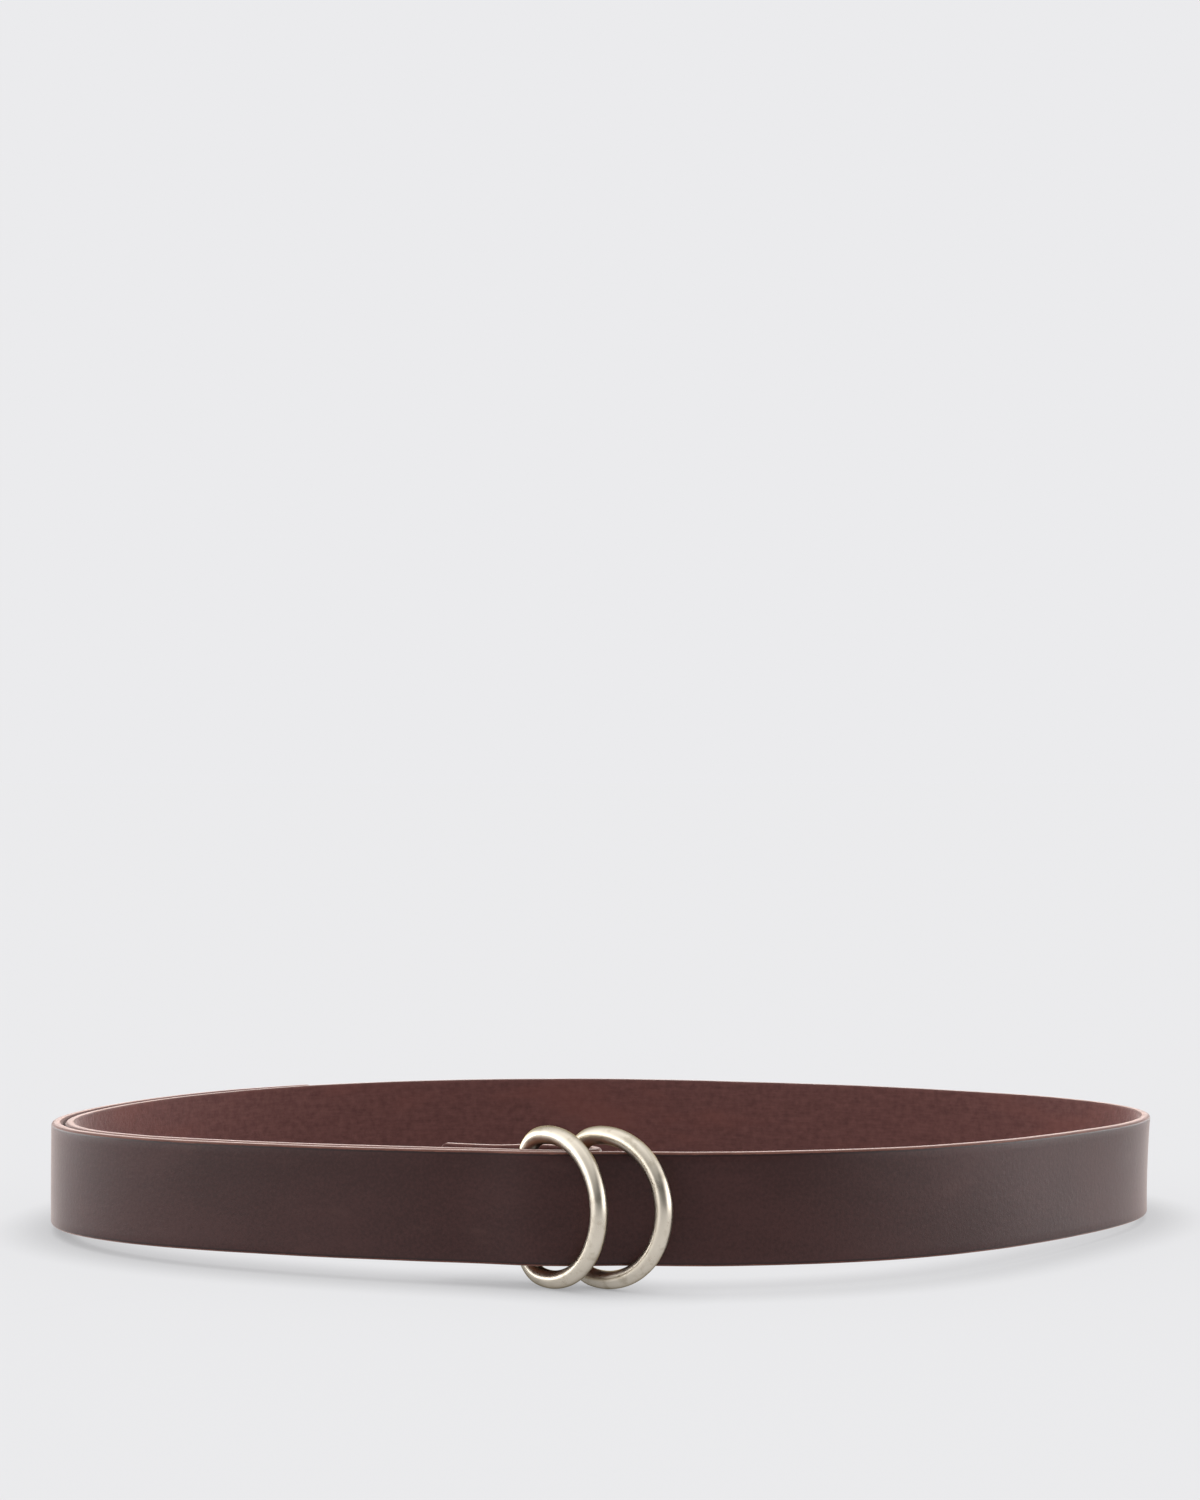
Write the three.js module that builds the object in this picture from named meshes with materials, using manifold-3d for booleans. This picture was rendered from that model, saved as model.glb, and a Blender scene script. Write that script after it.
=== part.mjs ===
// Ring belt: a bridle leather strap fastened through two plain D rings, standing on edge as a closed loop.
// Millimetres, +Z up. The rings are at the front, at -Y, and z = 0 is the surface that the belt stands on.
import * as THREE from 'three';
import { mergeVertices } from 'three/addons/utils/BufferGeometryUtils.js';
import Module from 'manifold-3d';

// Strap, cut from one hide: width and thickness, with its four long corners bevelled.
const strapWidth = 28.6;
const strapThickness = 3.2;
const edgeBevel = 0.8;
const halfThick = strapThickness / 2;
const halfWidth = strapWidth / 2;
const degree = Math.PI / 180;

// Loop that the strap's outer face follows, seen from above: half its width and depth, and the waves that
// take it from an ellipse to the squarer, slightly uneven loop of a strap that has been worn.
const loopHalfWidth = 158.0;
const loopHalfDepth = 119.5;
const loopMiddleX = -1.0;
const loopWaves = [
  { wavesPerTurn: 2, cosShare: 0, sinShare: -0.006 },
  { wavesPerTurn: 3, cosShare: 0.0079, sinShare: 0.0134 },
  { wavesPerTurn: 4, cosShare: 0.0079, sinShare: 0.0296 },
  { wavesPerTurn: 5, cosShare: 0.0082, sinShare: 0 },
];

// The rings stand lower than the strap, so they lift its front off the surface and its back rests on it.
const frontRise = 6.3;
// So lifted, the front leans back a little, and the rings with it.
const frontLean = 1.9 * degree;
// Round the right bend the strap's upper edge flares out a little.
const sideFlare = { angle: 2.3 * degree, fromX: 95, toX: 158 };
// Between the rings' sides the strap weaves a little: back behind their round sides, forward before their bars.
const weave = { middleX: -2.9, depth: 1.8, reach: 13.6, fade: 45 };

// Layers: the tail lies outside the fixed end, close at the front and a little looser round the left bend.
const layerGapFront = 0.3;
const layerGapBend = 0.6;
const frontAngle = 270 * degree;
const backAngle = 90 * degree;
const uncoveredAngle = 55 * degree;
const tailEndAngle = -234.8 * degree;
const tailCornerRadius = 2.5;
const wrapSteps = 145;
// Stations added towards an end, as shares of its corner radius, and how close one may come to its neighbour.
const endStationShares = [0.6, 0.3, 0.12, 0.03, 0];
const closestStation = 0.02;

// Rings: plain D rings bent from round wire, each turned about the vertical with its round side forward. The
// wire follows one wide arc, two corner arcs and a straight bar. The place of a ring is the middle of its wide
// arc: its x, and how far it lies behind the strap's outer face.
const wireDiameter = 4.6;
const ringInnerHeight = 31.8;
const wireRadius = wireDiameter / 2;
const arcRadius = (ringInnerHeight + wireDiameter) / 2;
const arcHalfAngle = 101 * degree;
const cornerRadius = 7.5;
const cornerMiddleX = (arcRadius - cornerRadius) * Math.cos(arcHalfAngle);
const cornerMiddleY = (arcRadius - cornerRadius) * Math.sin(arcHalfAngle);
const barX = cornerMiddleX - cornerRadius;
const rings = [
  { name: 'ring_left', x: -13.35, behindFace: 4.66, turn: 47.7 * degree },
  { name: 'ring_right', x: 0.85, behindFace: 3.68, turn: 36.0 * degree },
];
const wireSides = 12;
const arcSteps = 30;
const cornerSteps = 6;

// Fold that holds the rings: it turns round the right ring's bar and runs back behind both bars to the flap.
// Its route gives the middle of the inner layer by how far it lies behind the strap's outer face.
const foldTurnRadius = 4.5;
const foldTurnSteps = 9;
const foldLeaveAngle = 80 * degree;
const flapCornerRadius = 1.2;
const flapStep = 2;
const flapRoute = [
  { x: -13.0, behindFace: 14.6 },
  { x: -18.8, behindFace: 15.0 },
  { x: -23.5, behindFace: 13.2 },
  { x: -28.5, behindFace: 10.3 },
  { x: -34.0, behindFace: 10.0 },
  { x: -43.9, behindFace: 10.9 },
];

// Rivet that holds the flap to the fixed end: a cap on the flap and a burr let into the fixed end.
const rivet = {
  x: -33.0,
  shankRadius: 1.6,
  capRadius: 4.5,
  capRim: 0.4,
  capHeight: 1.2,
  domeShare: 0.6,
  domeHeightShare: 0.85,
  burrRadius: 3,
  burrThickness: 0.9,
  clearance: 0.3,
  capGap: 0.6,
  holeOvershoot: 1,
  sides: 20,
};

// How finely the loop is sampled for its extents and directions, and how its front is searched for an x.
const loopSamples = 1440;
const angleStep = 0.001;
const frontSearchReach = 60 * degree;
const frontSearchRounds = 30;
const weldDistance = 1e-4;

const wireMetal = new THREE.MeshStandardMaterial({ color: 0xc9c1b2, roughness: 0.32, metalness: 1 });
const bridleLeather = new THREE.MeshStandardMaterial({ color: 0x4a3230, roughness: 0.5, metalness: 0 });

// Loop in plan

function rawLoopPoint(angle) {
  let share = 1;
  for (const wave of loopWaves) {
    share += wave.cosShare * Math.cos(wave.wavesPerTurn * angle);
    share += wave.sinShare * Math.sin(wave.wavesPerTurn * angle);
  }
  return new THREE.Vector2(
    loopMiddleX + loopHalfWidth * Math.cos(angle) * share,
    loopHalfDepth * Math.sin(angle) * share,
  );
}

function loopDepthRange() {
  let lowest = Infinity;
  let highest = -Infinity;
  for (let step = 0; step < loopSamples; step += 1) {
    const depth = rawLoopPoint((step / loopSamples) * 2 * Math.PI).y;
    lowest = Math.min(lowest, depth);
    highest = Math.max(highest, depth);
  }
  return { lowest, loopDepth: highest - lowest };
}

const { lowest: frontDepth, loopDepth } = loopDepthRange();

function weaveAt(point) {
  const fromMiddle = point.x - weave.middleX;
  if (point.y > loopDepth / 2 || Math.abs(fromMiddle) > weave.fade) return 0;
  const fade = Math.cos((fromMiddle / weave.fade) * 90 * degree) ** 2;
  return weave.depth * fade * Math.sin((fromMiddle / weave.reach) * 90 * degree);
}

// Point of the outer face at an angle round the loop, with y = 0 at the very front, and the way inward there.
function loopPoint(angle) {
  const point = rawLoopPoint(angle);
  point.y -= frontDepth;
  const along = rawLoopPoint(angle + angleStep).sub(rawLoopPoint(angle - angleStep)).normalize();
  point.y += weaveAt(point);
  return { point, inward: new THREE.Vector2(-along.y, along.x) };
}

// How far the strap's lower edge stands above the surface at a depth behind the front.
function lowerEdge(depth) {
  const share = 1 - THREE.MathUtils.clamp(depth / loopDepth, 0, 1);
  return frontRise * share * share;
}

// Distance from the loop's outer face in to the strap's middle, by the angle it has reached: a layer further
// in while the tail lies over it, then easing out to the loop itself along the back.
function insetAt(angle) {
  const bendShare = angle > backAngle ? Math.cos(angle) ** 2 : 0;
  const gap = THREE.MathUtils.lerp(layerGapFront, layerGapBend, bendShare);
  const covered = THREE.MathUtils.smoothstep(angle, uncoveredAngle, tailEndAngle + 2 * Math.PI);
  return halfThick + covered * (strapThickness + gap);
}

// Stations along the strap: its middle, the way in across it and how high its lower edge stands

function wrapStation(angle) {
  const { point, inward } = loopPoint(angle);
  const middle = point.clone().addScaledVector(inward, insetAt(angle));
  return { middle, across: inward, rise: lowerEdge(point.y) };
}

// Angle at which the front of the loop reaches a given x.
function frontAngleAt(x) {
  let low = frontAngle - frontSearchReach;
  let high = frontAngle + frontSearchReach;
  for (let round = 0; round < frontSearchRounds; round += 1) {
    const middle = (low + high) / 2;
    if (rawLoopPoint(middle).x < x) low = middle;
    else high = middle;
  }
  return low;
}

// Point a given way behind the outer face, at the place where the face reaches x.
function behindFront(x, distance) {
  const { point, inward } = loopPoint(frontAngleAt(x));
  return point.addScaledVector(inward, distance);
}

function wrapStations(startX) {
  const startAngle = frontAngleAt(startX);
  const stations = [];
  for (let step = 0; step <= wrapSteps; step += 1) {
    stations.push(wrapStation(THREE.MathUtils.lerp(startAngle, tailEndAngle, step / wrapSteps)));
  }
  return stations;
}

function flapCurve(turnEnd) {
  const route = flapRoute.map((row) => behindFront(row.x, row.behindFace));
  const points = [turnEnd, ...route].map((point) => new THREE.Vector3(point.x, point.y, 0));
  return new THREE.CatmullRomCurve3(points, false, 'centripetal');
}

// The fold, from the end of the flap to where it joins the fixed end.
function foldStations(fixedEnd) {
  const centre = fixedEnd.middle.clone().addScaledVector(fixedEnd.across, foldTurnRadius);
  const startAngle = Math.atan2(-fixedEnd.across.y, -fixedEnd.across.x);
  const rise = fixedEnd.rise;
  const turn = [];
  for (let step = 1; step <= foldTurnSteps; step += 1) {
    const angle = THREE.MathUtils.lerp(startAngle, foldLeaveAngle, step / foldTurnSteps);
    const outward = new THREE.Vector2(Math.cos(angle), Math.sin(angle));
    const middle = centre.clone().addScaledVector(outward, foldTurnRadius);
    turn.push({ middle, across: outward.clone().negate(), rise });
  }
  const curve = flapCurve(turn.at(-1).middle);
  const flapSteps = Math.round(curve.getLength() / flapStep);
  const flap = [];
  for (let step = 1; step <= flapSteps; step += 1) {
    const place = curve.getPointAt(step / flapSteps);
    const heading = curve.getTangentAt(step / flapSteps);
    const across = new THREE.Vector2(-heading.y, heading.x);
    flap.push({ middle: new THREE.Vector2(place.x, place.y), across, rise });
  }
  return [...turn, ...flap].reverse();
}

// Half the strap's width near an end with rounded corners.
function widthNearEnd(distance, endRadius) {
  const into = Math.min(distance, endRadius);
  return halfWidth - endRadius + Math.sqrt(endRadius ** 2 - (endRadius - into) ** 2);
}

// Adds stations close to an end, so that its corners come out round, and gives every station its half width.
function roundEnd(stations, endRadius) {
  const last = stations.at(-1);
  const before = stations.at(-2);
  const gap = last.middle.distanceTo(before.middle);
  const rows = stations.slice(0, -1);
  for (const endShare of endStationShares) {
    const share = 1 - Math.min(1 - closestStation, (endShare * endRadius) / gap);
    rows.push({
      middle: before.middle.clone().lerp(last.middle, share),
      across: before.across.clone().lerp(last.across, share).normalize(),
      rise: THREE.MathUtils.lerp(before.rise, last.rise, share),
    });
  }
  for (const row of rows) {
    const distance = row.middle.distanceTo(last.middle);
    const half = widthNearEnd(distance, endRadius);
    row.half = Math.min(row.half ?? halfWidth, half);
  }
  return rows;
}

// Strap: a bevelled rectangle carried along the stations

// Section in the strap's own terms: side, from -1 at its outer face to 1 at its inner one, and height.
function sectionPoints(half) {
  const flat = half - edgeBevel;
  const shoulder = 1 - edgeBevel / halfThick;
  return [
    { side: -1, height: -flat },
    { side: -1, height: flat },
    { side: -shoulder, height: half },
    { side: shoulder, height: half },
    { side: 1, height: flat },
    { side: 1, height: -flat },
    { side: shoulder, height: -half },
    { side: -shoulder, height: -half },
  ];
}

function strapGeometry(stations) {
  const positions = [];
  const index = [];
  for (const { middle, across, rise, half } of stations) {
    const lean = frontLean * (1 - THREE.MathUtils.clamp(middle.y / loopDepth, 0, 1));
    const flare = sideFlare.angle * THREE.MathUtils.smoothstep(middle.x, sideFlare.fromX, sideFlare.toX);
    for (const { side, height } of sectionPoints(half)) {
      const place = middle.clone().addScaledVector(across, side * halfThick);
      const back = height * Math.sin(lean);
      const out = height * Math.sin(flare);
      positions.push(place.x + out, place.y + back, rise + halfWidth + height * Math.cos(lean));
    }
  }
  const count = sectionPoints(halfWidth).length;
  for (let row = 0; row < stations.length - 1; row += 1) {
    for (let corner = 0; corner < count; corner += 1) {
      const next = (corner + 1) % count;
      const a = row * count + corner;
      const b = row * count + next;
      index.push(a, b, b + count, a, b + count, a + count);
    }
  }
  const lastRow = (stations.length - 1) * count;
  for (let corner = 1; corner < count - 1; corner += 1) {
    index.push(0, corner + 1, corner);
    index.push(lastRow, lastRow + corner, lastRow + corner + 1);
  }
  const geometry = new THREE.BufferGeometry();
  geometry.setAttribute('position', new THREE.Float32BufferAttribute(positions, 3));
  geometry.setIndex(index);
  return geometry;
}

// Rings

// Middle line of a ring's wire in its own plane, each point with the way out of the ring there.
function wireLine() {
  const line = [];
  const addArc = (middleX, middleY, radius, from, to, steps) => {
    for (let step = 0; step < steps; step += 1) {
      const angle = THREE.MathUtils.lerp(from, to, step / steps);
      const outward = new THREE.Vector2(Math.cos(angle), Math.sin(angle));
      const point = new THREE.Vector2(middleX, middleY).addScaledVector(outward, radius);
      line.push({ point, outward });
    }
  };
  const half = 180 * degree;
  addArc(0, 0, arcRadius, -arcHalfAngle, arcHalfAngle, arcSteps);
  addArc(cornerMiddleX, cornerMiddleY, cornerRadius, arcHalfAngle, half, cornerSteps);
  line.push({ point: new THREE.Vector2(barX, cornerMiddleY), outward: new THREE.Vector2(-1, 0) });
  addArc(cornerMiddleX, -cornerMiddleY, cornerRadius, half, 2 * half - arcHalfAngle, cornerSteps);
  return line;
}

function ringGeometry() {
  const line = wireLine();
  const positions = [];
  const index = [];
  line.forEach(({ point, outward }, row) => {
    for (let side = 0; side < wireSides; side += 1) {
      const angle = (side / wireSides) * 2 * Math.PI;
      const place = point.clone().addScaledVector(outward, wireRadius * Math.cos(angle));
      positions.push(place.x, place.y, wireRadius * Math.sin(angle));
      const a = row * wireSides + side;
      const b = row * wireSides + ((side + 1) % wireSides);
      const c = ((row + 1) % line.length) * wireSides + side;
      const d = ((row + 1) % line.length) * wireSides + ((side + 1) % wireSides);
      index.push(a, d, b, a, c, d);
    }
  });
  const geometry = new THREE.BufferGeometry();
  geometry.setAttribute('position', new THREE.Float32BufferAttribute(positions, 3));
  geometry.setIndex(index);
  return geometry;
}

// Rivet, and the hole that it needs through both layers

function latheFrom(profile) {
  const points = profile.map(([radius, height]) => new THREE.Vector2(radius, height));
  return new THREE.LatheGeometry(points, rivet.sides);
}

// Turned so that its axis, its own +Y, runs from the fixed end's outer face back through the flap.
function placeRivet(geometry, seat) {
  const axis = new THREE.Vector3(seat.across.x, seat.across.y, 0);
  const turn = new THREE.Quaternion().setFromUnitVectors(new THREE.Vector3(0, 1, 0), axis);
  geometry.applyQuaternion(turn);
  geometry.translate(seat.face.x, seat.face.y, seat.height);
  return geometry;
}

function rivetGeometry(length) {
  const { shankRadius, capRadius, capRim, capHeight, capGap } = rivet;
  const { domeShare, domeHeightShare, burrRadius, burrThickness, clearance } = rivet;
  const capBase = length + capGap;
  return latheFrom([
    [0, clearance],
    [burrRadius, clearance],
    [burrRadius, clearance + burrThickness],
    [shankRadius, clearance + burrThickness],
    [shankRadius, capBase],
    [capRadius, capBase],
    [capRadius, capBase + capRim],
    [capRadius * domeShare, capBase + capHeight * domeHeightShare],
    [0, capBase + capHeight],
  ]);
}

function rivetHoleGeometry(length) {
  const { shankRadius, burrRadius, burrThickness, clearance, holeOvershoot } = rivet;
  const seatDepth = burrThickness + 2 * clearance;
  const holeEnd = length + holeOvershoot;
  return latheFrom([
    [0, -clearance],
    [burrRadius + clearance, -clearance],
    [burrRadius + clearance, seatDepth],
    [shankRadius + clearance, seatDepth],
    [shankRadius + clearance, holeEnd],
    [0, holeEnd],
  ]);
}

// Solid cutting

const wasm = await Module();
wasm.setup();

function toSolid(source) {
  const bare = source.clone();
  bare.deleteAttribute('normal');
  bare.deleteAttribute('uv');
  const merged = mergeVertices(bare, weldDistance);
  return new wasm.Manifold(new wasm.Mesh({
    numProp: 3,
    vertProperties: new Float32Array(merged.attributes.position.array),
    triVerts: new Uint32Array(merged.index.array),
  }));
}

function toGeometry(solid) {
  const mesh = solid.getMesh();
  const geometry = new THREE.BufferGeometry();
  geometry.setAttribute('position', new THREE.Float32BufferAttribute(mesh.vertProperties, 3));
  geometry.setIndex(Array.from(mesh.triVerts));
  return geometry;
}

// Assembly

function nearestStation(stations, x) {
  return stations.reduce((best, row) => (
    Math.abs(row.middle.x - x) < Math.abs(best.middle.x - x) ? row : best));
}

function addMesh(group, name, geometry, material) {
  geometry.computeVertexNormals();
  const mesh = new THREE.Mesh(geometry, material);
  mesh.name = name;
  group.add(mesh);
  return mesh;
}

const belt = new THREE.Group();

const [, rightRing] = rings;
const rightBar = behindFront(rightRing.x, rightRing.behindFace);
const foldStartX = rightBar.x + barX * Math.cos(rightRing.turn);
const wrap = wrapStations(foldStartX);
const fold = foldStations(wrap[0]);
const flapFirst = roundEnd([...fold, ...wrap].reverse(), flapCornerRadius).reverse();
const stations = roundEnd(flapFirst, tailCornerRadius);

const fixedSeat = wrapStation(frontAngleAt(rivet.x));
const flapSeat = nearestStation(fold, fixedSeat.middle.x);
const seat = {
  across: fixedSeat.across,
  face: fixedSeat.middle.clone().addScaledVector(fixedSeat.across, -halfThick),
  height: fixedSeat.rise + halfWidth,
};
const layersApart = flapSeat.middle.clone().sub(fixedSeat.middle).dot(fixedSeat.across);
const rivetLength = layersApart + strapThickness;
const rivetHole = placeRivet(rivetHoleGeometry(rivetLength), seat);
const strapSolid = toSolid(strapGeometry(stations)).subtract(toSolid(rivetHole));
addMesh(belt, 'strap', toGeometry(strapSolid), bridleLeather);

for (const { name, x, behindFace, turn } of rings) {
  const place = behindFront(x, behindFace);
  const leaning = new THREE.Group();
  leaning.rotation.x = -frontLean;
  leaning.position.set(place.x, place.y, arcRadius * Math.cos(frontLean * Math.cos(turn)) + wireRadius);
  belt.add(leaning);
  const ring = addMesh(leaning, name, ringGeometry(), wireMetal);
  ring.rotation.set(90 * degree, 0, -turn, 'ZXY');
}

addMesh(belt, 'flap_rivet', placeRivet(rivetGeometry(rivetLength), seat), wireMetal);

// The origin is the middle of the whole belt's footprint, on the surface.
const bounds = new THREE.Box3().setFromObject(belt, true);
const middle = bounds.getCenter(new THREE.Vector3());
belt.position.set(-middle.x, -middle.y, -bounds.min.z);

export default belt;
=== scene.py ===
# Ring belt: a bridle leather strap fastened through two plain D rings, standing on edge as a closed loop.
# The rings are at the front, at -Y. Sizes in the dictionaries are in millimetres and degrees unless noted.
import math
from functools import partial

import bpy
from mathutils import Matrix, Vector


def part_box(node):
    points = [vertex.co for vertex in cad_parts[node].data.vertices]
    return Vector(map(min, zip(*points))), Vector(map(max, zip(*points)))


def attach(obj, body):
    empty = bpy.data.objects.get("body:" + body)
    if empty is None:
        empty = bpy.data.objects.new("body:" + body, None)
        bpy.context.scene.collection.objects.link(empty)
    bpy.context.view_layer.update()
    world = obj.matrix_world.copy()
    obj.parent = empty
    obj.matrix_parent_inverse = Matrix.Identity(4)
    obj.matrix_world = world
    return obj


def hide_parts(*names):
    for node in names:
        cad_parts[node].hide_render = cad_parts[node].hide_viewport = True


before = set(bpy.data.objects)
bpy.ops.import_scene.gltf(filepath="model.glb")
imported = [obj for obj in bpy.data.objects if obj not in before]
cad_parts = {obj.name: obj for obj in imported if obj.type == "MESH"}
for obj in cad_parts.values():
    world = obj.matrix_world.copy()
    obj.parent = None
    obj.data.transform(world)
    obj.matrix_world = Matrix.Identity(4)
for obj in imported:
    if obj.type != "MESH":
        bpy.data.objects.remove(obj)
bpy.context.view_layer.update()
print("frame loaded:", ", ".join(sorted(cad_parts)))

mm = 0.001


# Small helpers

def linearColour(hexText):
    channels = [int(hexText[start:start + 2], 16) / 255 for start in (1, 3, 5)]
    linear = [c / 12.92 if c <= 0.04045 else ((c + 0.055) / 1.055) ** 2.4 for c in channels]
    return (*linear, 1.0)


def addNode(tree, kind, inputs=None, **settings):
    # inputs: socket name or number, and either a value or the output that is linked to it
    node = tree.nodes.new(kind)
    for setting, value in settings.items():
        setattr(node, setting, value)
    for key, value in (inputs or {}).items():
        socket = node.inputs[key]
        if isinstance(value, bpy.types.NodeSocket):
            tree.links.new(value, socket)
        else:
            socket.default_value = value
    return node


def addMaths(tree, operation, *values):
    return addNode(tree, "ShaderNodeMath", dict(enumerate(values)), operation=operation).outputs[0]


def addVectors(tree, operation, *values):
    return addNode(tree, "ShaderNodeVectorMath", dict(enumerate(values)), operation=operation).outputs[0]


def addScaled(tree, vector, factor):
    inputs = {0: vector, "Scale": factor}
    return addNode(tree, "ShaderNodeVectorMath", inputs, operation="SCALE").outputs[0]


def addNoise(tree, vector, size, detail, roughness=0.5):
    # size in the unit of the vector; without a vector the pattern follows the positions
    inputs = {"Scale": 1 / size, "Detail": detail, "Roughness": roughness}
    if vector is not None:
        inputs["Vector"] = vector
    return addNode(tree, "ShaderNodeTexNoise", inputs).outputs[0]


def addRange(tree, value, given, wanted, kind="LINEAR"):
    inputs = {"Value": value, "From Min": given[0], "From Max": given[1],
              "To Min": wanted[0], "To Max": wanted[1]}
    return addNode(tree, "ShaderNodeMapRange", inputs, interpolation_type=kind).outputs["Result"]


def addRamp(tree, value, start, end, low=0.0, high=1.0):
    return addRange(tree, value, (start, end), (low, high), "SMOOTHSTEP")


def addBlend(tree, share, first, second):
    # a colour is hex text or an output
    first, second = [linearColour(c) if isinstance(c, str) else c for c in (first, second)]
    return addNode(tree, "ShaderNodeMix", {0: share, 6: first, 7: second}, data_type="RGBA").outputs[2]


def addBlendValue(tree, share, first, second):
    return addNode(tree, "ShaderNodeMix", {0: share, 2: first, 3: second}, data_type="FLOAT").outputs[0]


def mix(start, end, share):
    return start + (end - start) * share


def smoothStep(value, low, high):
    share = min(1.0, max(0.0, (value - low) / (high - low)))
    return share * share * (3 - 2 * share)


def newMesh(name, points, edges, faces, attributes=None):
    mesh = bpy.data.meshes.new(name)
    mesh.from_pydata(points, edges, faces)
    for label, values in (attributes or {}).items():
        isVector = hasattr(values[0], "__len__")
        data = mesh.attributes.new(label, "FLOAT_VECTOR" if isVector else "FLOAT", "POINT").data
        if isVector:
            data.foreach_set("vector", [part for value in values for part in value])
        else:
            data.foreach_set("value", values)
    return mesh


def newObject(name, mesh):
    thing = bpy.data.objects.new(name, mesh)
    bpy.context.scene.collection.objects.link(thing)
    return thing


# The loop in plan, seen from above: x to the right, y back from the strap's front face

loop = {
    "halfWidth": 158.0,
    "halfDepth": 119.5,
    "middleX": -1.0,
    "waves": [  # waves per turn, share of the cosine and share of the sine
        (2, 0.0, -0.006),
        (3, 0.0079, 0.0134),
        (4, 0.0079, 0.0296),
        (5, 0.0082, 0.0),
    ],
    "frontRise": 6.3,  # the rings stand lower than the strap and lift its front
    "frontLean": 1.9,
    "weaveMiddle": -2.9,  # the strap weaves back behind the rings' round sides and forward before their bars
    "weaveDepth": 1.8,
    "weaveReach": 13.6,
    "weaveFade": 45.0,
    "flare": 2.3,  # the upper edge leans out round the right bend, between these two x
    "flareFrom": 95.0,
    "flareTo": 158.0,
    "flareCurl": 0.35,  # and curls over by so much at the edge
}

strap = {
    "width": 28.6,
    "thickness": 3.2,
    "edgeRadius": 0.85,
    "layerGapFront": 0.3,
    "layerGapBend": 0.6,
    "uncoveredAngle": 55.0,  # where the single layer has reached the outside of the loop
    "tailEndAngle": -234.8,
    "tailCorner": 2.5,
    "flapCorner": 1.2,
    "stationStep": 1.9,
    "faceSteps": 14,
    "sideSteps": 2,
    "cornerSteps": 4,
    "crown": 0.06,  # how much the faces belly out along their middle
    "edgeWander": 0.16,  # how much the cut edges stray from straight
    "edgeWave": (45.0, 2.0, 0.4),  # length of the waves, and the noise's detail and roughness
    "surfaceWander": 0.08,
    "surfaceWave": (17.0, 2.0, 0.5),
    "endSoftness": 0.7,  # the cut ends thin to this share of the thickness over this length
    "endThickShare": 0.62,
    "endSpread": 1.2,  # length of an end's close stations, in corner radii
    "endGap": 0.4,
    "endShares": (1.0, 0.8, 0.6, 0.42, 0.28, 0.18, 0.1, 0.045, 0.012, 0.0),
}

fold = {
    "turnRadius": 4.5,
    "leaveAngle": 80.0,
    "stepShare": 0.6,  # of the strap's own step
    "evenRows": 4,  # stations past the fold that are evened out with it, and how often
    "evenRounds": 6,
    "route": [  # x, and how far the flap's middle lies behind the strap's front face
        (-13.0, 14.6),
        (-18.8, 15.0),
        (-23.5, 13.2),
        (-28.5, 10.3),
        (-34.0, 10.0),
        (-43.9, 10.9),
    ],
}

dRing = {
    "wire": 4.6,
    "innerHeight": 31.8,
    "arcHalfAngle": 101.0,
    "cornerRadius": 7.5,
    "wireSides": 32,
    "pathStep": 0.8,
    "castWander": 0.05,
    "castWave": (5.0, 2.0, 0.45),
    "places": {  # x of the wide arc's middle, how far it lies behind the strap's face, and its turn
        "left": (-13.35, 4.66, 47.7),
        "right": (0.85, 3.68, 36.0),
    },
}

rivet = {
    "x": -33.0,
    "shankRadius": 1.6,
    "capRadius": 4.5,
    "capRim": 0.4,
    "capHeight": 1.2,
    "burrRadius": 3.0,
    "burrThickness": 0.9,
    "clearance": 0.3,
    "capGap": 0.6,
    "burrBevel": 0.2,
    "capBevel": 0.12,
    "domeSteps": 8,
    "sharpAngle": 35.0,
    "flapReach": 30.0,  # the flap is this far from the strap's end or nearer
    "sides": 64,
}

halfThick = strap["thickness"] / 2
halfWidth = strap["width"] / 2
wireRadius = dRing["wire"] / 2
arcRadius = (dRing["innerHeight"] + dRing["wire"]) / 2


def rawLoopPoint(angle):
    share = 1.0
    for perTurn, cosShare, sinShare in loop["waves"]:
        share += cosShare * math.cos(perTurn * angle) + sinShare * math.sin(perTurn * angle)
    return Vector((
        loop["middleX"] + loop["halfWidth"] * math.cos(angle) * share,
        loop["halfDepth"] * math.sin(angle) * share,
    ))


loopDepths = [rawLoopPoint(math.radians(step / 4)).y for step in range(4 * 360)]
frontDepth = min(loopDepths)
loopDepth = max(loopDepths) - frontDepth


def weaveAt(point):
    fromMiddle = point.x - loop["weaveMiddle"]
    if point.y > loopDepth / 2 or abs(fromMiddle) > loop["weaveFade"]:
        return 0.0
    fade = math.cos(fromMiddle / loop["weaveFade"] * math.pi / 2) ** 2
    return loop["weaveDepth"] * fade * math.sin(fromMiddle / loop["weaveReach"] * math.pi / 2)


def loopPoint(angle):
    # point of the outer face, and the way in from it
    point = rawLoopPoint(angle) - Vector((0, frontDepth))
    along = (rawLoopPoint(angle + 0.001) - rawLoopPoint(angle - 0.001)).normalized()
    point.y += weaveAt(point)
    return point, Vector((-along.y, along.x))


def lowerEdge(depth):
    share = 1 - min(1.0, max(0.0, depth / loopDepth))
    return loop["frontRise"] * share * share


def leanAt(depth):
    return math.radians(loop["frontLean"]) * (1 - min(1.0, max(0.0, depth / loopDepth)))


def flareAt(x):
    return smoothStep(x, loop["flareFrom"], loop["flareTo"])


def insetAt(angle):
    # from the outer face to the strap's middle: one layer further in while the tail lies over it
    bendShare = math.cos(angle) ** 2 if angle > math.pi / 2 else 0.0
    gap = mix(strap["layerGapFront"], strap["layerGapBend"], bendShare)
    covered = smoothStep(angle, math.radians(strap["uncoveredAngle"]),
                         math.radians(strap["tailEndAngle"] + 360))
    return halfThick + covered * (strap["thickness"] + gap)


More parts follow.
